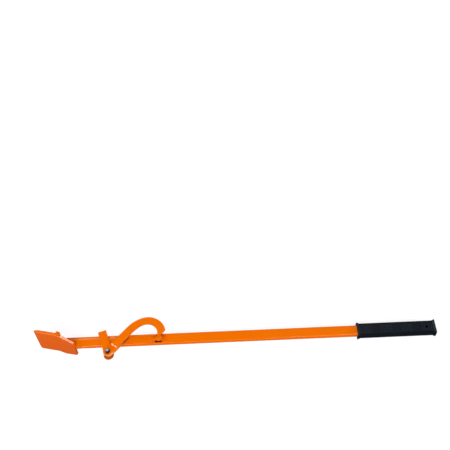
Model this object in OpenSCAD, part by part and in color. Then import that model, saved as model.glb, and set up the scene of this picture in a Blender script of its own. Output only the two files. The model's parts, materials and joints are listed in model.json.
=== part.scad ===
// Felling lever: a flat steel lever with a bent blade, a heel bar, a black handgrip
// and a hook that turns on a bolt under the tube.
// X runs along the tube from the blade to the grip, with its zero at the hanging hole.
// Y runs across the tube towards the hook's side, with its zero on the centre line.
// Z runs along the hinge pin, with its zero in the middle of the tube.

/* [Lever] */
// Whole length from the blade's edge to the end of the grip
overall_length = 1300; // [1100:10:1400]
// Hanging hole's centre to the end of the grip
hole_to_end = 28; // [24:1:36]
// Diameter of the hanging hole through the tube
hole_diameter = 9; // [7:0.5:10]

/* [Tube] */
// Tube's wide side, along Y
tube_height = 35; // [30:1:40]
// Tube's narrow side, along Z
tube_depth = 16; // [14:1:20]
// Outer corner radius of the tube
tube_corner = 3; // [2.5:0.5:4]
// Wall thickness of the tube
tube_wall = 2; // [1.5:0.5:2.5]

/* [Blade] */
// Width of the blade across the lever
blade_width = 115; // [100:1:140]
// Thickness of the blade's plate
blade_thickness = 8; // [6:0.5:10]
// Inner face's length from the bend to the cutting edge
tip_run = 64.8; // [50:0.2:70]
// Inner face's length from the rear end to the bend
rear_run = 72.6; // [66:0.2:80]
// Slope of the tip section against the tube
tip_slope = 12.8; // [8:0.2:18]
// Slope of the rear section against the tube
rear_slope = 23.4; // [20:0.2:26]
// Full width goes on this far behind the bend
full_width_run = 27.6; // [20:0.2:34]
// Width of the blade's rear end
rear_width = 76; // [60:1:84]
// Radius of the blade's four corners
blade_corner = 4; // [2:0.5:6]
// Length of the ground bevel on the outer face
outer_bevel_run = 8; // [5:0.5:10]
// Depth of the ground bevel on the outer face
outer_bevel_depth = 2.4; // [1.5:0.1:2.6]
// Length of the ground bevel on the inner face
inner_bevel_run = 16; // [10:0.5:20]
// Depth of the ground bevel on the inner face
inner_bevel_depth = 3; // [2:0.1:3.2]
// Heel bar's side along the blade
heel_width = 11; // [9:0.5:13]
// Height of the heel bar over the blade's inner face
heel_height = 10; // [8:0.5:12]
// Length of the heel bar across the blade
heel_length = 110; // [90:1:114]
// Inner face's length from its rear end to the heel bar
heel_run = 55.5; // [50:0.5:57]
// Leg of the weld in front of the heel bar
heel_weld = 4; // [2:0.5:5]
// Gap between the heel bar's top and the tube's end
heel_gap = 5.5; // [3:0.5:9]

/* [Grip] */
// Length of the grip
grip_length = 256; // [220:1:280]
// Thickness of the grip's wall around the tube
grip_wall = 4.2; // [2.5:0.1:5]
// Clearance between the tube and the grip around it
grip_clearance = 0.05; // [0.02:0.01:0.2]
// Outer corner radius of the grip
grip_corner = 3; // [2:0.5:5]
// Thickness of the grip's closed end
grip_end_wall = 4; // [3:0.5:6]
// Thickness of the flange at each end of the grip
flange_length = 5; // [4:0.5:7]
// How far the flanges stand out of the grip
flange_lip = 3; // [2:0.5:4]
// Diameter of the opening around the hanging hole
grip_hole_diameter = 10; // [9.5:0.5:13]
// Groups of grip ribs
rib_groups = 4; // [3:1:5]
// Ribs in each group
ribs_per_group = 5; // [3:1:6]
// Pitch of the ribs
rib_pitch = 7.4; // [6:0.2:8]
// First and last ribs' distance from the grip's ends
rib_margin = 13.5; // [12:0.5:20]
// Width of a rib along the grip
rib_width = 2; // [1.4:0.2:3]
// Height of a rib
rib_height = 0.8; // [0.6:0.1:1.2]

/* [Hinge] */
// Blade's edge to the hinge pin
pivot_from_tip = 235; // [220:0.5:260]
// Tube's centre line to the hinge pin
pivot_drop = 41.5; // [38:0.5:48]
// Thickness of the lug under the tube
lug_thickness = 14; // [12:0.5:15]
// Radius of the lug's round end
lug_radius = 11; // [10.5:0.5:12]
// Lug's far edge at the tube, behind the pin
lug_reach = 16; // [12:1:24]
// Outer diameter of the hinge sleeve
sleeve_diameter = 16; // [15:0.5:17]
// Radial clearance of the sleeve in the lug
sleeve_clearance = 0.05; // [0.03:0.01:0.1]
// Diameter of the pivot bolt
bolt_diameter = 8; // [6:1:10]
// Radial clearance around the bolt's shank
bolt_clearance = 0.25; // [0.1:0.05:0.4]
// Radial clearance in the nut's thread
thread_clearance = 0.05; // [0.03:0.01:0.1]
// Hexagon's width across flats
hex_width = 13; // [12:0.5:14]
// Height of the bolt's head
head_height = 5.3; // [4:0.1:7]
// Height of the nut's hexagon
nut_height = 6.4; // [5:0.2:8]
// Height of the nut's round collar
collar_height = 1.6; // [1:0.1:2.5]
// Diameter of the nut's round collar
collar_diameter = 11.2; // [10.4:0.2:11.8]
// Bolt's end past the nut
bolt_stick_out = 1.5; // [1:0.5:4]
// Diameter of the outer washers
washer_diameter = 16; // [15:0.5:18]
// Thickness of the outer washers
washer_thickness = 1.6; // [1.2:0.1:2.5]
// Thickness of the washers beside the lug
thrust_thickness = 1.7; // [1.5:0.1:1.8]
// Diameter of the washers beside the lug
thrust_diameter = 21; // [20:0.5:23]

/* [Hook] */
// Gap between tube and cheek plates
cheek_gap = 1; // [0.6:0.1:1.5]
// Thickness of the cheek plates
cheek_thickness = 5; // [4:0.5:6]
// Width of the cheek plates' legs
cheek_width = 27; // [25:0.5:29]
// Radius of the front cheek's round end on the pin
front_end_radius = 15; // [14:0.5:16]
// Radius of the back cheek's round end on the pin
back_end_radius = 16.5; // [15:0.5:18]
// Direction of the strap leg
strap_angle = 107.5; // [100:0.1:112]
// Length of the strap leg from the pin
strap_length = 77; // [70:0.5:84]
// Direction of the hook arm as it leaves the hinge
arm_angle = 48.5; // [47:0.1:49]
// Length of the cheek's leg behind the arm
arm_leg_length = 62; // [50:1:64]
// How far that leg's centre line passes beside the pin
arm_leg_offset = 5.4; // [3:0.1:6]
// Width of the hook arm's straight part
arm_width = 25; // [23:0.5:26]
// How far the arm's centre line passes beside the pin
arm_offset = 4.1; // [2:0.1:5]
// Thickness of the hook arm
arm_thickness = 8; // [6:0.5:9]
// Pin to the foot of the arm's bevelled end
arm_start = 20; // [19:0.5:22]
// Length of the arm's bevelled end
arm_bevel = 5.5; // [3:0.5:7]
// Straight length of the arm's outer side, measured from the pin
outer_straight = 99.5; // [96:0.1:102]
// Straight length of the arm's inner side, measured from the pin
inner_straight = 97.6; // [95:0.2:100]
// Radius of the long bend on the arm's outer side
outer_bend_radius = 107.5; // [104:0.5:112]
// Radius of the long bend on the arm's inner side
inner_bend_radius = 104; // [100:0.5:108]
// Angle of the long bend on the arm's outer side
outer_bend_sweep = 31.2; // [30:0.2:32]
// Angle of the long bend on the arm's inner side
inner_bend_sweep = 22.4; // [21:0.2:24]
// Radius of the hook on its outer side
outer_hook_radius = 59.3; // [57:0.1:61]
// Radius of the hook on its inner side
inner_hook_radius = 34.1; // [33:0.1:35]
// How far the hook's outer side turns before the tip's slope
outer_turn = 127.9; // [126:0.1:130]
// How far the hook's inner side turns before the straight tip
inner_turn = 145; // [142:0.2:148]
// Straight length of the tip's inner side
tip_length = 23.6; // [20:0.1:25]
// Width of the tip
tip_width = 13.5; // [12:0.5:16]
// Height of the tip's straight outer side
tip_rise = 20; // [17:0.5:23]

/* [Keeper] */
// Thickness of the keeper's strap
keeper_thickness = 3; // [2:0.5:3.5]
// Gap between the hook arm's face and the keeper
keeper_gap = 1; // [0.6:0.2:2]
// Width of the keeper along Y
keeper_width = 18.5; // [16:0.5:20]
// Keeper's lower edge below the tube's centre line
keeper_drop = 13.5; // [12:0.5:15]
// Hook tip's inner edge to the keeper's raised wall
keeper_tip_gap = 1.6; // [1.4:0.1:2]
// Inner width of the keeper's bridge
bridge_width = 17; // [15:0.5:20]
// Horizontal run of the keeper's sloping wall
flank_run = 13; // [11:0.5:15]
// Horizontal run of the keeper's steep wall
wall_run = 2.4; // [1:0.2:4]
// Length of the keeper's long foot
long_foot = 3; // [2:0.5:6]
// Length of the keeper's short foot
short_foot = 4; // [3:0.5:6]
// Depth of the notch in the keeper's upper edge
notch_depth = 11; // [9:0.5:12]
// Notch's lowest point to its right end
notch_run = 22; // [18:0.5:23]
// Step at the notch's right end
notch_step = 4; // [1:0.5:6]

/* [Hidden] */
$fn = 64;
paint = [0.93, 0.42, 0.02];
zinc = [0.75, 0.76, 0.78];
black = [0.09, 0.09, 0.10];
// Cuts go this far past the faces they open
past = 1;

tube_side = tube_height / 2;
tube_face = tube_depth / 2;
cheek_inner = tube_face + cheek_gap;
cheek_outer = cheek_inner + cheek_thickness;
arm_outer = cheek_outer + arm_thickness;
washer_outer = cheek_outer + washer_thickness;

edge_x = hole_to_end - overall_length;
grip_front = hole_to_end - grip_length;
rib_group_pitch = (grip_length - 2 * rib_margin - (ribs_per_group - 1) * rib_pitch) / (rib_groups - 1);
tube_end = hole_to_end - grip_end_wall;
edge_depth = blade_thickness - outer_bevel_depth;
// Blade's inner face meets the tube's lower side here
seat_x = edge_x + rear_run * cos(rear_slope) + tip_run * cos(tip_slope) + edge_depth * sin(tip_slope);
half_bend = (rear_slope - tip_slope) / 2;
miter = blade_thickness * tan(half_bend);
blade_reach = rear_run + tip_run + blade_thickness;
tube_start = seat_x - heel_run * cos(rear_slope) + heel_height * sin(rear_slope) + heel_gap;

pivot_x = edge_x + pivot_from_tip;
sleeve_bore = bolt_diameter + 2 * bolt_clearance;
lug_rise = pivot_drop - tube_side;
// Angle at which the lug's slanting edge touches its round end
lug_touch = atan2(lug_rise, lug_reach) - acos(lug_radius / norm([lug_rise, lug_reach]));

arm_side = arm_width / 2;
long_bend_steps = 8;
hook_bend_steps = 36;
// Centres of the arm's bends, in the arm's own frame
outer_long_centre = [outer_straight, arm_side - arm_offset - outer_bend_radius];
inner_long_centre = [inner_straight, -arm_side - arm_offset - inner_bend_radius];
outer_hook_centre = on_bend(outer_long_centre, outer_bend_radius - outer_hook_radius, outer_bend_sweep);
inner_hook_centre = on_bend(inner_long_centre, inner_bend_radius - inner_hook_radius, inner_bend_sweep);
// Inner corner of the hook's tip, in the arm's own frame
tip_end = on_bend(inner_hook_centre, inner_hook_radius, inner_turn)
    + tip_length * [cos(inner_turn), -sin(inner_turn)];
tip_inner_x = pivot_x + tip_end[0] * cos(arm_angle) - tip_end[1] * sin(arm_angle);

bridge_under = arm_outer + keeper_gap;
bridge_top = bridge_under + keeper_thickness;
keeper_base = keeper_thickness + tube_face;
flank_slope = atan2(bridge_top - tube_face, flank_run);
flank_skew = keeper_thickness / sin(flank_slope);
wall_slope = atan2(bridge_top - tube_face, wall_run);
wall_skew = keeper_thickness / sin(wall_slope);

// Rectangle with round corners, centred
module round_rect(length, width, radius) {
    square([length - 2 * radius, width], center = true);
    square([length, width - 2 * radius], center = true);
    for (x = [-1, 1], y = [-1, 1])
        translate([x * (length / 2 - radius), y * (width / 2 - radius)])
            circle(radius);
}

// Bar along +X with a round-cornered section, from one X to another
module bar_x(from_x, to_x, height, depth, radius) {
    translate([from_x, 0, 0])
        rotate([90, 0, 90])
            linear_extrude(to_x - from_x)
                round_rect(height, depth, radius);
}

// Ring or washer along Z
module ring(from_z, to_z, outer, bore) {
    translate([0, 0, from_z])
        linear_extrude(to_z - from_z)
            difference() {
                circle(d = outer);
                circle(d = bore);
            }
}

// Places its children on the hinge pin
module at_pivot() {
    translate([pivot_x, -pivot_drop, 0])
        children();
}

// Blade's frame: X up the inner face from the tube's lower side, Y towards the outer face
module at_blade() {
    translate([seat_x, -tube_side, 0])
        rotate(180 - rear_slope)
            children();
}

module tube() {
    color(paint)
        difference() {
            bar_x(tube_start, tube_end, tube_height, tube_depth, tube_corner);
            bar_x(tube_start - past, tube_end + past, tube_height - 2 * tube_wall,
                tube_depth - 2 * tube_wall, tube_corner - tube_wall);
            at_blade()
                translate([0, 0, -tube_depth])
                    cube([blade_reach, tube_height, 2 * tube_depth]);
            translate([0, 0, -tube_depth])
                cylinder(h = 2 * tube_depth, d = hole_diameter);
        }
}

// Blade's side view: two flats that meet at the bend
module blade_side() {
    polygon([[0, 0], [rear_run, 0], [rear_run - miter, blade_thickness], [0, blade_thickness]]);
    translate([rear_run, 0])
        rotate(2 * half_bend)
            polygon([
                [0, 0],
                [tip_run - inner_bevel_run, 0],
                [tip_run, inner_bevel_depth],
                [tip_run, edge_depth],
                [tip_run - outer_bevel_run, blade_thickness],
                [miter, blade_thickness]
            ]);
}

// Blade's plan, seen square to its rear section
module blade_plan() {
    taper_end = rear_run - full_width_run;
    taper = atan2((blade_width - rear_width) / 2, taper_end);
    corner_y = rear_width / 2 - blade_corner * (1 - sin(taper)) / cos(taper);
    touch = [blade_corner * (1 - sin(taper)), corner_y + blade_corner * cos(taper)];
    for (side = [-1, 1])
        translate([blade_corner, side * corner_y])
            circle(blade_corner);
    polygon([
        [0, -corner_y],
        [touch[0], -touch[1]],
        [taper_end, -blade_width / 2],
        [blade_reach, -blade_width / 2],
        [blade_reach, blade_width / 2],
        [taper_end, blade_width / 2],
        touch,
        [0, corner_y]
    ]);
}

// What rounds off one corner of the cutting edge, drawn with the corner in the first quadrant
module corner_waste() {
    difference() {
        square(blade_corner + past);
        circle(blade_corner);
    }
}

module blade() {
    color(paint)
        at_blade()
            difference() {
                intersection() {
                    linear_extrude(blade_width, center = true)
                        blade_side();
                    rotate([90, 0, 0])
                        linear_extrude(blade_reach, center = true)
                            blade_plan();
                }
                translate([rear_run, 0])
                    rotate(2 * half_bend)
                        rotate([90, 0, 0])
                            for (side = [0, 1])
                                mirror([0, side, 0])
                                    translate([tip_run - blade_corner, blade_width / 2 - blade_corner])
                                        linear_extrude(4 * blade_thickness, center = true)
                                            corner_waste();
            }
}

module heel_bar() {
    color(paint)
        at_blade()
            linear_extrude(heel_length, center = true) {
                translate([heel_run, -heel_height])
                    square([heel_width, heel_height]);
                translate([heel_run + heel_width, 0])
                    polygon([[0, 0], [0, -heel_weld], [heel_weld, 0]]);
            }
}

module pivot_lug() {
    touch = lug_radius * [cos(lug_touch), sin(lug_touch)];
    color(paint)
        at_pivot()
            linear_extrude(lug_thickness, center = true)
                difference() {
                    union() {
                        circle(lug_radius);
                        polygon([[-lug_radius, 0], touch, [lug_reach, lug_rise], [-lug_radius, lug_rise]]);
                    }
                    circle(d = sleeve_diameter + 2 * sleeve_clearance);
                }
}

// Keeper's bent strap, seen along the tube's width, from the foot of its sloping wall
module keeper_side() {
    far = flank_run + flank_skew + bridge_width;
    polygon([
        [-long_foot, tube_face],
        [-long_foot, keeper_base],
        [flank_run * keeper_thickness / (bridge_top - tube_face), keeper_base],
        [flank_run, bridge_top],
        [far, bridge_top],
        [far + wall_run, keeper_base],
        [far + wall_run + short_foot, keeper_base],
        [far + wall_run + short_foot, tube_face],
        [far + wall_run - wall_skew, tube_face],
        [far - wall_skew, bridge_under],
        [flank_run * (bridge_under - tube_face) / (bridge_top - tube_face) + flank_skew, bridge_under],
        [flank_skew, tube_face]
    ]);
}

// Keeper's face view: the upper edge dips so that the hook's tip swings out
module keeper_face() {
    right = flank_run + flank_skew + bridge_width + wall_run + short_foot;
    polygon([
        [-long_foot, 0],
        [right, 0],
        [right, keeper_width],
        [flank_run + notch_run, keeper_width],
        [flank_run + notch_run, keeper_width - notch_step],
        [flank_run, keeper_width - notch_depth],
        [0, keeper_width],
        [-long_foot, keeper_width]
    ]);
}

module keeper() {
    under_x = flank_run * (bridge_under - tube_face) / (bridge_top - tube_face) + flank_skew;
    color(paint)
        translate([tip_inner_x - keeper_tip_gap - under_x, -keeper_drop, 0])
            intersection() {
                translate([0, keeper_width, 0])
                    rotate([90, 0, 0])
                        linear_extrude(keeper_width)
                            keeper_side();
                linear_extrude(bridge_top)
                    keeper_face();
            }
}

// Rows of ribs along one wide side of the grip
module ribs() {
    for (group = [0:rib_groups - 1], rib = [0:ribs_per_group - 1])
        translate([grip_front + rib_margin + group * rib_group_pitch + rib * rib_pitch, 0, 0])
            linear_extrude(tube_face + grip_wall + rib_height)
                square([rib_width, tube_height - 2 * tube_corner], center = true);
}

module grip() {
    body_height = tube_height + 2 * grip_wall;
    body_depth = tube_depth + 2 * grip_wall;
    color(black)
        difference() {
            union() {
                bar_x(grip_front, hole_to_end, body_height, body_depth, grip_corner);
                for (x = [grip_front, hole_to_end - flange_length])
                    bar_x(x, x + flange_length, body_height + 2 * flange_lip,
                        body_depth + 2 * flange_lip, grip_corner);
                ribs();
                mirror([0, 0, 1])
                    ribs();
            }
            bar_x(grip_front - past, tube_end, tube_height + 2 * grip_clearance,
                tube_depth + 2 * grip_clearance, tube_corner + grip_clearance);
            translate([0, 0, -body_depth])
                cylinder(h = 2 * body_depth, d = grip_hole_diameter);
        }
}

// Straight bar with a round near end and a square far end
module leg(length, width) {
    circle(d = width);
    translate([0, -width / 2])
        square([length, width]);
}

// Strap leg of a cheek plate, up across the tube, with its round end on the pin
module strap_leg(end_radius) {
    circle(end_radius);
    rotate(strap_angle)
        leg(strap_length, cheek_width);
}

// Cheek plate of the given face view, with the bolt's hole
module cheek() {
    linear_extrude(cheek_thickness)
        difference() {
            children();
            circle(d = sleeve_bore);
        }
}

module front_cheek() {
    color(paint)
        at_pivot()
            translate([0, 0, cheek_inner])
                cheek()
                    union() {
                        strap_leg(front_end_radius);
                        rotate(arm_angle)
                            translate([0, -arm_leg_offset])
                                leg(arm_leg_length, cheek_width);
                    }
}

module back_cheek() {
    color(paint)
        at_pivot()
            translate([0, 0, -cheek_outer])
                cheek()
                    strap_leg(back_end_radius);
}

// Point on a bend, a given turn clockwise from the arm's left side
function on_bend(centre, radius, turn) = centre + radius * [sin(turn), cos(turn)];

// Face view of the whole arm, from the pin's side to the hook's tip
module arm_face() {
    outer_sweep = outer_turn - outer_bend_sweep;
    inner_sweep = inner_turn - inner_bend_sweep;
    tip_outer = tip_end + tip_width * [cos(arm_angle), -sin(arm_angle)];
    polygon(concat(
        [[arm_start, -arm_side - arm_offset], [arm_start, arm_side - arm_offset]],
        [for (i = [0:long_bend_steps - 1])
            on_bend(outer_long_centre, outer_bend_radius, i / long_bend_steps * outer_bend_sweep)],
        [for (i = [0:hook_bend_steps])
            on_bend(outer_hook_centre, outer_hook_radius,
                outer_bend_sweep + i / hook_bend_steps * outer_sweep)],
        [tip_outer + tip_rise * [sin(arm_angle), cos(arm_angle)], tip_outer, tip_end],
        [for (i = [0:hook_bend_steps])
            on_bend(inner_hook_centre, inner_hook_radius, inner_turn - i / hook_bend_steps * inner_sweep)],
        [for (i = [1:long_bend_steps])
            on_bend(inner_long_centre, inner_bend_radius,
                (1 - i / long_bend_steps) * inner_bend_sweep)]
    ));
}

module hook_arm() {
    color(paint)
        at_pivot()
            rotate(arm_angle)
                difference() {
                    translate([0, 0, cheek_outer])
                        linear_extrude(arm_thickness)
                            arm_face();
                    translate([arm_start, arm_width, 0])
                        rotate([90, 0, 0])
                            linear_extrude(2 * arm_width)
                                polygon([
                                    [0, cheek_outer],
                                    [arm_bevel, arm_outer],
                                    [arm_bevel, arm_outer + past],
                                    [-past, arm_outer + past],
                                    [-past, cheek_outer]
                                ]);
                }
}

module hinge_sleeve() {
    color(zinc)
        at_pivot()
            ring(-cheek_inner, cheek_inner, sleeve_diameter, sleeve_bore);
}

module front_thrust_washer() {
    color(zinc)
        at_pivot()
            ring(cheek_inner - thrust_thickness, cheek_inner, thrust_diameter,
                sleeve_diameter + 2 * bolt_clearance);
}

module back_thrust_washer() {
    color(zinc)
        at_pivot()
            ring(-cheek_inner, thrust_thickness - cheek_inner, thrust_diameter,
                sleeve_diameter + 2 * bolt_clearance);
}

// Hexagon with both ends' corners turned off
module hexagon(height) {
    corner = hex_width / sqrt(3);
    chamfer = corner - hex_width / 2;
    intersection() {
        cylinder(h = height, r = corner, $fn = 6);
        rotate_extrude()
            polygon([
                [0, 0],
                [corner - chamfer, 0],
                [corner, chamfer / 2],
                [corner, height - chamfer / 2],
                [corner - chamfer, height],
                [0, height]
            ]);
    }
}

module pivot_bolt() {
    head_base = -washer_outer - head_height;
    shank_end = washer_outer + nut_height + collar_height + bolt_stick_out;
    color(zinc)
        at_pivot() {
            translate([0, 0, head_base])
                hexagon(head_height);
            translate([0, 0, head_base])
                cylinder(h = shank_end - head_base, d = bolt_diameter);
        }
}

module head_washer() {
    color(zinc)
        at_pivot()
            ring(-washer_outer, -cheek_outer, washer_diameter, sleeve_bore);
}

module nut_washer() {
    color(zinc)
        at_pivot()
            ring(cheek_outer, washer_outer, washer_diameter, sleeve_bore);
}

module lock_nut() {
    color(zinc)
        at_pivot()
            translate([0, 0, washer_outer])
                difference() {
                    union() {
                        hexagon(nut_height);
                        cylinder(h = nut_height + collar_height, d = collar_diameter);
                    }
                    translate([0, 0, -past])
                        cylinder(h = nut_height + collar_height + 2 * past,
                            d = bolt_diameter + 2 * thread_clearance);
                }
}

tube();
blade();
heel_bar();
pivot_lug();
keeper();
grip();
hook_arm();
front_cheek();
back_cheek();
hinge_sleeve();
front_thrust_washer();
back_thrust_washer();
pivot_bolt();
head_washer();
nut_washer();
lock_nut();
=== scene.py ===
# %% [markdown]
# # A felling lever with a turning hook
# The lever is welded from flat steel parts, painted orange, and ends in a ribbed black grip.
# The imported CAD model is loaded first, as a fixed frame in metres, and every piece below is
# made in that frame. X runs along the tube to the grip, Y points to the hook's side, and Z
# runs along the hinge pin.

# %% Load the frame
import json
from math import cos, radians, sin

import bmesh
import bpy
from mathutils import Matrix, Vector


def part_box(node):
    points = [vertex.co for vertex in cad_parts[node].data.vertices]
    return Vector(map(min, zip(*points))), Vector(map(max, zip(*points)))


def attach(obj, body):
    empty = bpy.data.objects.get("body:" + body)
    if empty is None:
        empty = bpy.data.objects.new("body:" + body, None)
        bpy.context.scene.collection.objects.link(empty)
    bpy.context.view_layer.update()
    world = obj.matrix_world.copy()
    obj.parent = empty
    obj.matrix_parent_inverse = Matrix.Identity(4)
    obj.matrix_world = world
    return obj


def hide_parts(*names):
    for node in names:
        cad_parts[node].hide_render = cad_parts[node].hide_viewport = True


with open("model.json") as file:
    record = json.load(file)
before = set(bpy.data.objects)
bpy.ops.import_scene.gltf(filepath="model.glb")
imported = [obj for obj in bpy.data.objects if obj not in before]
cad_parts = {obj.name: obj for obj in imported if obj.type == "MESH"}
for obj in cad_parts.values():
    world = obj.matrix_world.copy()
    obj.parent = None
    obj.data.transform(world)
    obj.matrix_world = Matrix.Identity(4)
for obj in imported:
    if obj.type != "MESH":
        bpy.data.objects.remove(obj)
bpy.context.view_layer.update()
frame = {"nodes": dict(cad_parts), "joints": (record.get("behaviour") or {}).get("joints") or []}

MM = 0.001

pin = Vector(frame["joints"][0]["pos_m"][:2]) / MM
print("hinge pin in millimetres", tuple(round(value, 2) for value in pin))

# %% [markdown]
# ## The camera
# The photograph is square and has true perspective, so the lever's far parts look a little
# smaller. The place could be guessed by eye, but a small error there shows in every outline.
# So the camera below was fitted to the lever's own straight edges.

# %% Place the camera
camera_place = (-0.6792, -1.0431, 2.0058)
azimuth, elevation, roll = radians(-1.4855), radians(53.250), radians(-1.1307)

lens = bpy.data.cameras.new("photo_camera")
lens.sensor_width = 36.0
lens.lens = 54.723
lens.clip_end = 50.0
camera = bpy.data.objects.new("photo_camera", lens)
bpy.context.scene.collection.objects.link(camera)
camera.matrix_world = (
    Matrix.Translation(camera_place)
    @ Matrix.Rotation(azimuth, 4, "Z")
    @ Matrix.Rotation(radians(90) - elevation, 4, "X")
    @ Matrix.Rotation(roll, 4, "Z")
)
bpy.context.scene.camera = camera
print("camera at", tuple(round(value, 3) for value in camera.location))

# %% [markdown]
# ## Shader expressions
# A material could be built by adding and linking nodes one by one, but then its formula is
# hard to see. `Value` wraps one output of a node, and its operators add Math nodes, so
# `1 - mask` works. `Recipe` holds the nodes of one material, or of the sky, and makes every
# other node through a single method. Its `step` and `band` take limits in millimetres.

# %% A socket that does arithmetic
class Value:
    def __init__(self, tree, socket):
        self.tree, self.socket = tree, socket

    def math(self, operation, first, second=0.0):
        node = self.tree.nodes.new("ShaderNodeMath")
        node.operation = operation
        for slot, value in zip(node.inputs, (first, second)):
            feed(self.tree, slot, value)
        return Value(self.tree, node.outputs[0])

    def __add__(self, other):
        return self.math("ADD", self, other)

    def __radd__(self, other):
        return self.math("ADD", other, self)

    def __sub__(self, other):
        return self.math("SUBTRACT", self, other)

    def __rsub__(self, other):
        return self.math("SUBTRACT", other, self)

    def __mul__(self, other):
        return self.math("MULTIPLY", self, other)

    def __rmul__(self, other):
        return self.math("MULTIPLY", other, self)

    def __abs__(self):
        return self.math("ABSOLUTE", self)

    def at_least(self, least):
        return self.math("MAXIMUM", self, least)

    def root(self):
        return self.math("SQRT", self)


def feed(tree, slot, value):
    if isinstance(value, Value):
        tree.links.new(value.socket, slot)
    else:
        slot.default_value = value


# %% A recipe that makes its own nodes
class Recipe:
    def __init__(self, owner):
        owner.use_nodes = True
        self.owner, self.tree = owner, owner.node_tree
        self.tree.nodes.clear()

    def node(self, kind, settings=None, inputs=None, output=0):
        made = self.tree.nodes.new(kind)
        for key, value in (settings or {}).items():
            setattr(made, key, value)
        for key, value in (inputs or {}).items():
            feed(self.tree, made.inputs[key], value)
        return Value(self.tree, made.outputs[output]) if made.outputs else None

    def place(self):
        return self.node("ShaderNodeTexCoord", output="Object")

    def noise(self, scale, detail=3.0):
        inputs = {"Scale": scale, "Detail": detail, "Vector": self.place()}
        return self.node("ShaderNodeTexNoise", inputs=inputs)

    def along(self, axis):
        return self.node("ShaderNodeSeparateXYZ", inputs={0: self.place()}, output=axis)

    def step(self, value, start, end):
        inputs = {"Value": value, "From Min": start * MM, "From Max": end * MM}
        return self.node("ShaderNodeMapRange", {"interpolation_type": "SMOOTHSTEP"}, inputs)

    def band(self, value, low, high, blur):
        rise = self.step(value, low - blur, low + blur)
        return rise * self.step(value, high + blur, high - blur)

    def mix(self, factor, low, high):
        colors = {0: factor, 6: low, 7: high}
        return self.node("ShaderNodeMix", {"data_type": "RGBA"}, colors, output=2)

    def bump(self, height, strength, distance):
        inputs = {"Height": height, "Strength": strength, "Distance": distance}
        return self.node("ShaderNodeBump", inputs=inputs)

    def surface(self, inputs):
        return self.output(self.node("ShaderNodeBsdfPrincipled", inputs=inputs))

    def output(self, shader, kind="ShaderNodeOutputMaterial"):
        self.node(kind, inputs={"Surface": shader})
        print(self.owner.name, len(self.tree.nodes), "nodes")
        return self.owner


# %% [markdown]
# ## The floor
# The lever lies on a white studio floor. It touches the floor with the blade's lower corners
# and the grip's end flange, so in the lever's own frame the floor is slightly tilted. A floor
# of plain white paint would throw much light back on the object and wash out its orange. So
# the paint is a middle grey that takes the object's soft shadow, and a glow on top of it
# brings the floor up to white. The glow is full for the camera, weak in mirrors and lights
# nothing, and it is a little stronger away from the lever, where there is no shadow.

# %% Tilt the floor under the blade and the grip
blade_low, blade_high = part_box("blade")
grip_low, grip_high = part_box("grip")
full_width_end = -1.1854
rise = grip_low.z - blade_low.z
floor_slope = rise / (grip_high.x - full_width_end)
print("floor slope", round(floor_slope, 4))

# %% Mix the floor's finish
floor_grey, floor_in_mirrors = (0.30, 0.31, 0.33, 1), (0.05, 0.055, 0.065, 1)
mirror_glow = 0.04
near_glow, extra_far_glow = 0.79, 0.20
near, far = 150, 700
lever_middle, lever_reach = -620, 620

floor_finish = Recipe(bpy.data.materials.new("floor_white"))
in_mirrors = floor_finish.node("ShaderNodeLightPath", output="Is Glossy Ray")
floor_shade = floor_finish.mix(in_mirrors, floor_grey, floor_in_mirrors)
floor_paint = floor_finish.node("ShaderNodeBsdfDiffuse", inputs={"Color": floor_shade})
seen_direct = floor_finish.node("ShaderNodeLightPath", output="Is Camera Ray")
seen_through = floor_finish.node("ShaderNodeLightPath", output="Is Transmission Ray")
seen = seen_direct + seen_through + mirror_glow * in_mirrors
floor_x, floor_y = floor_finish.along("X"), floor_finish.along("Y")
past_ends = abs(floor_x - lever_middle * MM) - lever_reach * MM
from_lever = abs(floor_y).at_least(past_ends)
glow = near_glow + extra_far_glow * floor_finish.step(from_lever, near, far)
glow_inputs = {"Color": (1, 1, 1, 1), "Strength": glow * seen}
floor_glow = floor_finish.node("ShaderNodeEmission", inputs=glow_inputs)
both = {0: floor_paint, 1: floor_glow}
floor_white = floor_finish.output(floor_finish.node("ShaderNodeAddShader", inputs=both))

# %% Lay the floor
floor_gap, floor_reach = 0.4 * MM, 14.0

floor_mesh = bmesh.new()
bmesh.ops.create_grid(floor_mesh, x_segments=1, y_segments=1, size=floor_reach)
floor_turn = Matrix.Rotation(-floor_slope, 3, "Y")
bmesh.ops.rotate(floor_mesh, verts=floor_mesh.verts, matrix=floor_turn, cent=(0, 0, 0))
floor_at = Vector((grip_high.x, 0, grip_low.z - floor_gap))
bmesh.ops.translate(floor_mesh, verts=floor_mesh.verts, vec=floor_at)
floor_data = bpy.data.meshes.new("floor")
floor_mesh.to_mesh(floor_data)
floor_mesh.free()
floor_data.materials.append(floor_white)
floor = bpy.data.objects.new("floor", floor_data)
bpy.context.scene.collection.objects.link(floor)
print("floor under the grip at", round(floor_at.z / MM, 2), "mm")

# %% [markdown]
# ## The studio light
# Real product pictures are lit by soft boxes round the table. The sky alone would light the
# lever evenly but flatly, so a dim sky that fades upwards fills the shadows, and soft lamps
# give the shape. Where a lamp must light the orange without a pale reflection on it, the
# lamp is hidden from glossy rays.

# %% Make the sky
sky_tint = (0.97, 0.98, 1.0, 1)
horizon_level, fade_upwards, less_in_mirrors = 0.9, 1.5, 0.7

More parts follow.
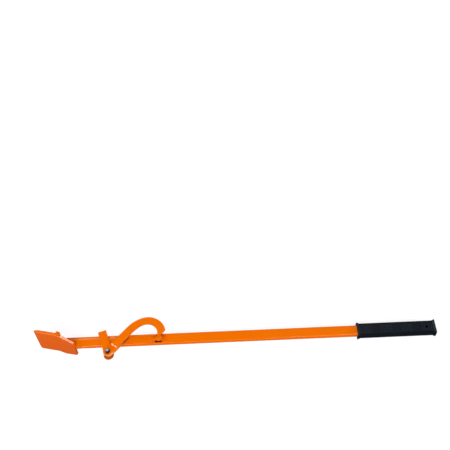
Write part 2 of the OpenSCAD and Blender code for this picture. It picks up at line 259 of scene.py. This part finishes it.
scene = bpy.context.scene
scene.view_settings.view_transform = "Standard"
scene.world = bpy.data.worlds.new("studio")
sky = Recipe(scene.world)
direction = sky.node("ShaderNodeTexCoord", output="Generated")
height = sky.node("ShaderNodeSeparateXYZ", inputs={0: direction}, output="Z")
camera_ray = sky.node("ShaderNodeLightPath", output="Is Camera Ray")
glossy_ray = sky.node("ShaderNodeLightPath", output="Is Glossy Ray")
horizon = horizon_level - fade_upwards * height.at_least(0)
studio_level = horizon.at_least(0) * (1 - less_in_mirrors * glossy_ray)
strength = camera_ray + (1 - camera_ray) * studio_level
sky_inputs = {"Color": sky_tint, "Strength": strength}
sky.output(sky.node("ShaderNodeBackground", inputs=sky_inputs), "ShaderNodeOutputWorld")


# %% Hang the soft boxes
def softbox(name, place, target, size, watts, in_gloss):
    data = bpy.data.lights.new(name, "AREA")
    data.shape, data.size, data.energy = "DISK", size, watts
    lamp = bpy.data.objects.new(name, data)
    lamp.location = place
    lamp.rotation_euler = (Vector(target) - Vector(place)).to_track_quat("-Z", "Y").to_euler()
    lamp.visible_glossy = in_gloss
    scene.collection.objects.link(lamp)
    print(name, watts, "W")


# Each row: name, place, the point it faces, width, watts, and whether it shows in gloss.
studio_lamps = (
    ("right_softbox", (0.03, 0.34, 2.2), (-0.6, 0, 0), 0.76, 10.0, True),
    ("overhead_softbox", (-1.2, -2.0, 1.9), (-0.6, 0, 0), 2.0, 55.0, False),
    ("fill_softbox", (1.4, -0.5, 0.4), (-1.1, 0, 0), 0.6, 14.0, False),
    ("back_softbox", (-1.2, 2.2, 1.2), (-0.8, 0, 0), 2.2, 26.0, True),
    ("left_softbox", (-2.7, -0.5, 1.7), (-0.8, 0, 0), 0.4, 8.5, True),
    ("front_softbox", (-1.4, -2.3, 1.0), (-0.7, 0, 0), 0.5, 8.5, True),
    ("low_softbox", (1.5, -1.15, 1.1), (-0.9, 0, 0), 0.5, 3.0, True),
)
for lamp_row in studio_lamps:
    softbox(*lamp_row)

# %% [markdown]
# ## The orange paint
# The steel is sprayed with a thick glossy orange. Real spray paint is never quite even: it
# is a little deeper where it pools, has a fine orange-peel skin, and its gloss changes from
# place to place. Noise at three sizes gives colour, gloss and skin. The marks below, painted
# highlights and painted shade among them, could be a texture image, but a mask made from the
# place on the piece needs no image and stays put when the hook turns, so every mark is such a
# mask.

# %% Mix the orange paint
orange, fresh_orange = (0.87, 0.157, 0.0002, 1), (0.92, 0.178, 0.0003, 1)
dusty_orange = (0.42, 0.070, 0.004, 1)


def orange_paint(name, skin=0.10, grime=0.05, marks=()):
    paint = Recipe(bpy.data.materials.new(name))
    patches, speckle = paint.noise(9.0, detail=2.0), paint.noise(420.0, detail=2.0)
    orange_peel = paint.noise(520.0, detail=2.0)
    color = paint.mix(grime * speckle, paint.mix(patches, orange, fresh_orange), dusty_orange)
    for mask, tint in marks:
        color = paint.mix(mask(paint), color, tint)
    return paint.surface({
        "Base Color": color,
        "Roughness": 0.10 + 0.04 * patches,
        "Normal": paint.bump(orange_peel, strength=skin, distance=0.05 * MM),
    })


smooth_orange = orange_paint("orange_paint")
weld_orange = orange_paint("orange_paint_on_weld", skin=0.45, grime=0.10)


# %% [markdown]
# ## Marks on the blade and the tube
# The blade has a slightly deeper coat, and a painted highlight runs along its upper edge.
# On the tube a painted highlight line runs from the blade to the hook. Painted shade darkens
# the slot under the keeper, the inside of the hanging hole, and the tube under the arm. Each
# mark could be a thin decal just above the steel, but that would show as a step from the
# side, so the marks only change the paint's colour.

# %% Mask the blade's marks
# The second colour is a painted highlight, for the blade's edge and the front cheek's rim.
deep_orange, highlight_orange = (0.91, 0.137, 0.0003, 1), (0.95, 0.34, 0.10, 1)
blade_edge = blade_high.z / MM
edge_highlight_rise = (blade_edge - 2.9, blade_edge - 1.9)
edge_highlight_fall = (blade_edge - 0.02, blade_edge - 0.14)


def all_over(paint):
    return 0.9 + 0.1 * paint.noise(14.0, detail=2.0)


# Painted highlight: a pale band along the blade's upper edge, where light catches it.
def painted_edge_highlight(paint):
    z = paint.along("Z")
    return paint.step(z, *edge_highlight_rise) * paint.step(z, *edge_highlight_fall)


blade_marks = ((all_over, deep_orange), (painted_edge_highlight, highlight_orange))
blade_orange = orange_paint("orange_paint_on_blade", marks=blade_marks)

# %% Find a place beside the hook arm
arm_turn = radians(48.5)
along_arm = Vector((cos(arm_turn), sin(arm_turn)))
across_arm = Vector((-sin(arm_turn), cos(arm_turn)))


def from_pin(paint):
    return paint.along("X") - pin.x * MM, paint.along("Y") - pin.y * MM


def arm_place(paint):
    x, y = from_pin(paint)
    return along_arm.x * x + along_arm.y * y, across_arm.y * y + across_arm.x * x


def on_arm(along, across, z):
    spot = pin + along * along_arm + across * across_arm
    return (spot.x, spot.y, z)


print("100 mm along the arm:", [round(value, 1) for value in on_arm(100, 0, 0)])

# %% Mask the tube's marks
# Both colours are painted shade: near black for the slot and the hole, brown under the arm.
painted_shade_black, painted_shade_brown = (0.012, 0.006, 0.004, 1), (0.16, 0.06, 0.03, 1)
# A painted highlight colour, for a pale line along the tube's face.
pale_highlight_orange = (0.72, 0.33, 0.12, 1)
keeper_slot_x, keeper_slot_y = (-886, -862.5), (-14.5, -1)
hanging_hole_x = (-9, 9)
shaded_along, shaded_across = (50, 82), (-18, -8)
line_x, line_y = (-1163, -1012), (6.9, 9.9)


# Painted shade: the tube's face in the slot under the keeper is near black.
def shade_under_keeper(paint):
    lengthwise = paint.band(paint.along("X"), *keeper_slot_x, blur=1.5)
    return lengthwise * paint.band(paint.along("Y"), *keeper_slot_y, blur=0.5)


# Painted shade: the tube inside the hanging hole is near black.
def shade_in_hanging_hole(paint):
    return paint.band(paint.along("X"), *hanging_hole_x, blur=1)


# Painted shade: the tube's face under the hook arm is darkened brown.
def shade_under_arm(paint):
    along, across = arm_place(paint)
    lengthwise = paint.band(along, *shaded_along, blur=3)
    return 0.8 * lengthwise * paint.band(across, *shaded_across, blur=2)


# Painted highlight: a pale line on the tube's face between the blade and the hook.
def painted_highlight_line(paint):
    lengthwise = paint.band(paint.along("X"), *line_x, blur=4)
    return lengthwise * paint.band(paint.along("Y"), *line_y, blur=0.5)


tube_marks = (
    (shade_under_arm, painted_shade_brown),
    (shade_under_keeper, painted_shade_black),
    (shade_in_hanging_hole, painted_shade_black),
    (painted_highlight_line, pale_highlight_orange),
)
tube_orange = orange_paint("orange_paint_on_tube", marks=tube_marks)

# %% [markdown]
# ## Marks on the cheeks
# Painted shade darkens the back cheek round the pin, where the front cheek shades it, and a
# painted highlight lies on the front cheek's rim below the pin. Painted shade also darkens the
# end of its leg under the arm. The round marks could be a spherical gradient, but the distance
# from the pin is one short formula, and the bolt's darker flanks below need it again.

# %% Mask the cheeks' marks
cheek_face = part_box("front_cheek")[1].z / MM
shade_reach, rim_reach = (19, 15), (13.4, 14.0)
rim_y, rim_z = (pin.y - 1.5, pin.y - 6.5), (cheek_face - 1, cheek_face - 0.5)
leg_along, leg_across = (42, 56), (-10, -13)


def reach_from_pin(paint):
    x, y = from_pin(paint)
    return (x * x + y * y).root()


# Painted shade: the back cheek is darkened round the pin, where the front cheek shades it.
def shade_round_pin(paint):
    return 0.55 * paint.step(reach_from_pin(paint), *shade_reach)


# Painted highlight: the front cheek's rim below the pin is tinted pale.
def painted_rim_highlight(paint):
    below_pin = paint.step(paint.along("Y"), *rim_y)
    outside = paint.step(paint.along("Z"), *rim_z)
    return below_pin * outside * paint.step(reach_from_pin(paint), *rim_reach)


# Painted shade: the end of the front cheek's leg under the arm is darkened brown.
def shade_at_leg_end(paint):
    along, across = arm_place(paint)
    return 0.9 * paint.step(along, *leg_along) * paint.step(across, *leg_across)


back_orange = orange_paint("orange_paint_with_painted_shade", marks=((shade_round_pin, painted_shade_brown),))
front_marks = ((painted_rim_highlight, highlight_orange), (shade_at_leg_end, painted_shade_brown))
front_orange = orange_paint("orange_paint_with_highlight_and_shade", marks=front_marks)

# %% [markdown]
# ## Zinc plating
# The hinge bolt and its nut are zinc plated: bright metal with a faint cloudy bloom, and
# a painted dark reflection on the flanks. The washers and the sleeve are duller. Two separate
# materials would soon drift apart, so one recipe with two pairs of
# colours makes both.

# %% Plate the hardware
pale_zinc, white_zinc = (0.86, 0.88, 0.91, 1), (0.95, 0.96, 0.97, 1)
slate_zinc, grey_zinc = (0.13, 0.16, 0.20, 1), (0.22, 0.25, 0.30, 1)
# A painted dark reflection for the flanks of the bolt and the nut.
dark_flank_reflection = (0.12, 0.13, 0.18, 1)
flank_reach = (4.4, 5.6)


def zinc_plating(name, low, high, flank=None):
    plating = Recipe(bpy.data.materials.new(name))
    cloud, pits = plating.noise(160.0, detail=4.0), plating.noise(900.0, detail=2.0)
    color = plating.mix(cloud, low, high)
    if flank:
        on_flank = plating.step(reach_from_pin(plating), *flank_reach)
        color = plating.mix(on_flank, color, flank)
    return plating.surface({
        "Base Color": color,
        "Metallic": 1.0,
        "Roughness": 0.46 + 0.14 * cloud,
        "Normal": plating.bump(pits, strength=0.12, distance=0.1 * MM),
    })


bright_zinc = zinc_plating("bright_zinc", pale_zinc, white_zinc, dark_flank_reflection)
dark_zinc = zinc_plating("dark_zinc", slate_zinc, grey_zinc)

# %% [markdown]
# ## The grip's plastic
# The grip is moulded in black plastic with a fine leathery grain. A painted highlight makes
# the tops of the ribs a little greyer, and painted shade makes its long corners darker. A
# Voronoi pattern gives small even cells like leather, which noise would not.

# %% Mould the grip's plastic
deep_black, soft_black = (0.003, 0.006, 0.010, 1), (0.007, 0.010, 0.016, 1)
# The first colour is a painted highlight for the rib tops, the second painted shade for the long
# corners.
rib_highlight_black, corner_shade_black = (0.018, 0.024, 0.033, 1), (0.001, 0.0015, 0.002, 1)
tube_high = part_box("tube")[1]
tube_side, tube_face = tube_high.y / MM, tube_high.z / MM
grip_wall = 4.2
grip_side, grip_face = tube_side + grip_wall, tube_face + grip_wall
rib_tops_z = (grip_face + 0.3, grip_face + 0.7)
shaded_corner_y = (grip_side - 2.7, grip_side - 0.5)

plastic = Recipe(bpy.data.materials.new("black_plastic"))
grain_inputs = {"Scale": 900.0, "Vector": plastic.place()}
grain = plastic.node("ShaderNodeTexVoronoi", inputs=grain_inputs, output="Distance")
sheen = plastic.noise(40.0)
# Painted highlight: the rib tops are greyer.
rib_tops = plastic.step(abs(plastic.along("Z")), *rib_tops_z)
# Painted shade: the grip's long corners are darkened.
corners = plastic.band(abs(plastic.along("Y")), *shaded_corner_y, blur=0.4)
moulded = plastic.mix(rib_tops, plastic.mix(sheen, deep_black, soft_black), rib_highlight_black)
black_plastic = plastic.surface({
    "Base Color": plastic.mix(0.8 * corners, moulded, corner_shade_black),
    "Roughness": 0.42 + 0.16 * sheen,
    "Specular IOR Level": 0.13,
    "Normal": plastic.bump(grain, strength=0.25, distance=0.15 * MM),
})

# %% [markdown]
# ## Softened copies of the CAD pieces
# No steel edge is perfectly sharp, and paint rounds it further, so each edge catches a thin
# line of light. A Bevel modifier on the CAD piece itself would fail, because its mesh is
# loose triangles and must not change. So each CAD piece is copied, its triangles are merged
# into flat faces, and its edges are bevelled. The CAD piece stays for the physics, and the
# copy is shown. The tube's long corners are round in the CAD already, so its edge is finer.
# The blade's bend of ten degrees is no edge, so the blade's edges start at a wider angle.

# %% A helper that makes a finished piece
def finish_mesh(name, mesh, material, body):
    data = bpy.data.meshes.new(name)
    mesh.to_mesh(data)
    mesh.free()
    data.polygons.foreach_set("use_smooth", [True] * len(data.polygons))
    data.materials.append(material)
    piece = bpy.data.objects.new(name, data)
    scene.collection.objects.link(piece)
    even = piece.modifiers.new("even_shading", "WEIGHTED_NORMAL")
    even.keep_sharp = True
    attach(piece, body)
    print(name, len(data.polygons), "faces")
    return piece


# %% A helper that softens one piece
merge_distance = 0.002 * MM
flat_angle, sharp_angle = radians(0.6), radians(9)


def merged_copy(node):
    mesh = bmesh.new()
    mesh.from_mesh(frame["nodes"][node].data)
    bmesh.ops.remove_doubles(mesh, verts=mesh.verts, dist=merge_distance)
    bmesh.ops.dissolve_limit(
        mesh, angle_limit=flat_angle, verts=mesh.verts, edges=mesh.edges, delimit=set()
    )
    return mesh


def sharp_edges(mesh, least):
    return [
        edge for edge in mesh.edges
        if len(edge.link_faces) == 2 and edge.calc_face_angle(0.0) > least
    ]


def round_edges(mesh, edges, radius, segments):
    return bmesh.ops.bevel(
        mesh, geom=edges, offset=radius * MM, segments=segments, profile=0.5,
        affect="EDGES", material=-1, clamp_overlap=True,
    )


def soften(node, radius, material, body, least=sharp_angle, shape=None):
    mesh = merged_copy(node)
    if shape:
        shape(mesh)
    round_edges(mesh, sharp_edges(mesh, least), radius, segments=2)
    piece = finish_mesh(node + "_skin", mesh, material, body)
    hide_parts(node)


# %% Soften the painted steel
blade_least = radians(15)

# Each row: piece, edge radius, paint, body, and the least angle that counts as an edge.
painted_steel = (
    ("tube", 0.25, tube_orange, "lever", sharp_angle),
    ("blade", 0.7, blade_orange, "lever", blade_least),
    ("heel_bar", 0.9, smooth_orange, "lever", sharp_angle),
    ("pivot_lug", 0.7, smooth_orange, "lever", sharp_angle),
    ("keeper", 0.5, smooth_orange, "lever", sharp_angle),
    ("front_cheek", 0.8, front_orange, "hook", sharp_angle),
    ("back_cheek", 0.8, back_orange, "hook", sharp_angle),
)
for node, radius, paint, body, least in painted_steel:
    soften(node, radius, paint, body, least)

# %% [markdown]
# ## The hook arm
# The arm's foot is ground to a bevel that lies on the cheek, and a narrow flat facet along
# the top of the bevel catches a bright line of light. It could be cut in the CAD, but it is
# the grinder's mark rather than a size of the part. One bevel of a single segment on that
# edge makes the facet. Its sides are marked sharp, and they turn by less than 32 degrees, so
# the rounding that follows leaves them crisp.

# %% Soften the hook arm, with a ground facet over its bevelled end
arm_foot, arm_bevel, facet_width = 20, 5.5, 1.1
near_enough, arm_least = 0.1, radians(32)
arm_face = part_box("hook_arm")[1].z / MM


def on_bevel_top(vert):
    along = (vert.co.xy / MM - pin).dot(along_arm)
    on_face = vert.co.z / MM > arm_face - near_enough
    return on_face and abs(along - arm_foot - arm_bevel) < near_enough


def grind_bevel_top(mesh):
    top = [edge for edge in mesh.edges if all(on_bevel_top(vert) for vert in edge.verts)]
    ground = round_edges(mesh, top, facet_width, segments=1)
    for face in ground["faces"]:
        for edge in face.edges:
            edge.smooth = False
    print("ground facet", len(ground["faces"]), "face")


soften(
    "hook_arm", 0.8, smooth_orange, "hook", arm_least, shape=grind_bevel_top
)

# %% [markdown]
# ## The hinge's hardware
# The bolt, the nut, the washers and the sleeve are small machined parts with crisp edges.
# They could share the steel's radius, but then the nut would look like soap, so their edges
# are broken by a quarter of a millimetre only.

# %% Soften the hinge's hardware
machined_edge = 0.25
for node in (
    "front_thrust_washer", "back_thrust_washer", "head_washer", "nut_washer", "hinge_sleeve"
):
    soften(node, machined_edge, dark_zinc, "hook")
for node in ("pivot_bolt", "lock_nut"):
    soften(node, machined_edge, bright_zinc, "hook")

# %% [markdown]
# ## The grip
# Each end of the grip has a flange that keeps the hand in place. Seen from the side it comes
# to a thin lip rather than a square step. The lip could be a piece of its own, but sliding
# the rim of the CAD flange's inner face down to the grip's wall is simpler and keeps the grip
# one moulding.

# %% Mould the grip with pointed flanges
flange_width, flange_height = 5, 3
slope_run, slope_foot = 3.5, 0.4
least_height = 0.9
grip_ends = ((grip_low.x / MM, 1), (grip_high.x / MM, -1))


def point_flanges(mesh):
    for vert in mesh.verts:
        x, y, z = vert.co / MM
        on_flange = max(abs(y) - grip_side, abs(z) - grip_face) > least_height
        for end, inward in grip_ends:
            inner_face = end + inward * flange_width
            if on_flange and abs(x - inner_face) < near_enough:
                vert.co.x = (inner_face + inward * slope_run) * MM
                vert.co.y *= (grip_side + slope_foot) / (grip_side + flange_height)
                vert.co.z *= (grip_face + slope_foot) / (grip_face + flange_height)


soften("grip", 0.3, black_plastic, "lever", shape=point_flanges)

# %% [markdown]
# ## Weld beads
# The steel parts are held by weld beads: rows of overlapping drops that the arc leaves as it
# moves on. A plain rod in the corner would look like a seal, so each drop is a small sphere
# sunk into the corner between the two plates, and its size changes a little from drop to
# drop. The paint lies thicker and rougher on them.

# %% A helper that lays a bead
drop_spacing, drop_swing = 0.8, 0.05


def bead(name, runs, radius, body):
    mesh = bmesh.new()
    for start, end in runs:
        start, end = Vector(start) * MM, Vector(end) * MM
        spacing = drop_spacing * radius * MM
        drops = max(2, round((end - start).length / spacing))
        for drop in range(drops + 1):
            # The size takes five steps in a mixed order, so that neighbours differ.
            size = radius * MM * (1 + drop_swing * ((drop * 7) % 5 - 2))
            spot = Matrix.Translation(start.lerp(end, drop / drops))
            bmesh.ops.create_icosphere(mesh, subdivisions=2, radius=size, matrix=spot)
    finish_mesh(name, mesh, weld_orange, body)


# %% Weld the blade and the heel bar
seat = Vector((-1140.9, -17.5))
blade_slope = radians(23.4)
up_blade = Vector((-cos(blade_slope), sin(blade_slope)))
side_weld, end_half, seat_length = (1, 44), 7, 45.2
heel_foot, heel_half = 55.5, 53


def on_blade(along, z):
    spot = seat + along * up_blade
    return (spot.x, spot.y, z)


blade_runs = [
    tuple(on_blade(along, side * tube_face) for along in side_weld) for side in (-1, 1)
]
blade_runs += [
    (on_blade(along, -end_half), on_blade(along, end_half)) for along in (0, seat_length)
]
bead("blade_weld", blade_runs, radius=2.2, body="lever")
heel_run = (on_blade(heel_foot, -heel_half), on_blade(heel_foot, heel_half))
bead("heel_weld", [heel_run], radius=1.6, body="lever")

# %% Weld the lug and tack the keeper
lug_low, lug_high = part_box("pivot_lug")
lug_ends, lug_side = (lug_low.x / MM + 1, lug_high.x / MM - 1), lug_high.z / MM
lug_runs = [tuple((x, -tube_side, side * lug_side) for x in lug_ends) for side in (-1, 1)]
bead("lug_weld", lug_runs, radius=1.4, body="lever")

# Each row: the tack's X, and its run in Y.
tack_rows = (
    (-900.7, 1.3, 4.3),
    (-900.7, -13.0, -10.4),
    (-857.6, 1.6, 4.2),
    (-857.6, -5.4, -3.0),
)
tack_z = 9.5
tacks = [((x, low, tack_z), (x, high, tack_z)) for x, low, high in tack_rows]
bead("keeper_tacks", tacks, radius=1.7, body="lever")

# %% Weld the hook arm to its cheek
arm_edge, edge_weld = -16.6, (22, 42)
foot_weld = (-15.6, 7.4)
arm_runs = [
    tuple(on_arm(along, arm_edge, cheek_face) for along in edge_weld),
    tuple(on_arm(arm_foot, across, cheek_face) for across in foot_weld),
]
bead("arm_weld", arm_runs, radius=1.3, body="hook")

# %% [markdown]
# ## The locking ring in the nut
# The nut keeps its place with a nylon ring that is rolled into its collar. A torus would be
# round in section, but the real ring is cut square, so it is a small square profile spun
# round the pin.

# %% Colour the nylon
navy, pale_navy = (0.050, 0.080, 0.210, 1), (0.075, 0.115, 0.270, 1)

nylon = Recipe(bpy.data.materials.new("blue_nylon"))
nylon_cloud, rolled_skin = nylon.noise(300.0), nylon.noise(1400.0, detail=2.0)
blue_nylon = nylon.surface({
    "Base Color": nylon.mix(nylon_cloud, navy, pale_navy),
    "Roughness": 0.40 + 0.15 * nylon_cloud,
    "Normal": nylon.bump(rolled_skin, strength=0.15, distance=0.05 * MM),
})


# %% Spin the nylon ring
ring_inner, ring_outer, ring_steps = 4.02, 4.95, 48
nut_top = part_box("lock_nut")[1].z / MM
ring_low, ring_high = nut_top - 1.4, nut_top + 0.15


def is_radial(face, about):
    out = face.calc_center_median() - about
    out.z = 0
    return abs(face.normal.z) < 0.01 and abs(face.normal.dot(out.normalized())) < 0.2


def spun_ring(name, inner, outer, low, high, material, body):
    mesh = bmesh.new()
    middle = Vector((pin.x + (inner + outer) / 2, pin.y, (low + high) / 2)) * MM
    shape = Matrix.Translation(middle) @ Matrix.Rotation(radians(90), 4, "X")
    shape = shape @ Matrix.Diagonal(((outer - inner) * MM, (high - low) * MM, 1, 1))
    bmesh.ops.create_grid(mesh, x_segments=1, y_segments=1, size=0.5, matrix=shape)
    about = Vector((pin.x, pin.y, 0)) * MM
    bmesh.ops.spin(
        mesh, geom=mesh.verts[:] + mesh.edges[:] + mesh.faces[:], cent=about,
        axis=(0, 0, 1), angle=radians(360), steps=ring_steps, use_merge=True,
    )
    # The spin leaves copies of the profile's own face inside the ring.
    inside = [face for face in mesh.faces if is_radial(face, about)]
    bmesh.ops.delete(mesh, geom=inside, context="FACES")
    bmesh.ops.remove_doubles(mesh, verts=mesh.verts, dist=merge_distance)
    bmesh.ops.recalc_face_normals(mesh, faces=mesh.faces)
    finish_mesh(name, mesh, material, body)


spun_ring(
    "nylon_ring", ring_inner, ring_outer, ring_low, ring_high, blue_nylon, "hook"
)

# %% [markdown]
# ## The grip's moulding lines
# The grip is moulded in two halves, which leaves a fine raised line along both narrow sides.
# A bump in the material would vanish in the outline, so each line is a long thin bar with
# softened edges.

# %% Raise the moulding lines
seam_low, seam_high = grip_low.x / MM + 2, grip_high.x / MM - 2
seam_half, sunk, proud = 0.7, 1, 0.6


def bar(mesh, low, high):
    low, high = Vector(low) * MM, Vector(high) * MM
    size = high - low
    shape = Matrix.Translation((low + high) / 2) @ Matrix.Diagonal((size.x, size.y, size.z, 1))
    bmesh.ops.create_cube(mesh, size=1.0, matrix=shape)


seam = bmesh.new()
for side in (-1, 1):
    low_y, high_y = sorted((side * (grip_side - sunk), side * (grip_side + proud)))
    bar(seam, (seam_low, low_y, -seam_half), (seam_high, high_y, seam_half))
round_edges(seam, seam.edges[:], radius=0.25, segments=1)
finish_mesh("grip_moulding_line", seam, black_plastic, "lever")
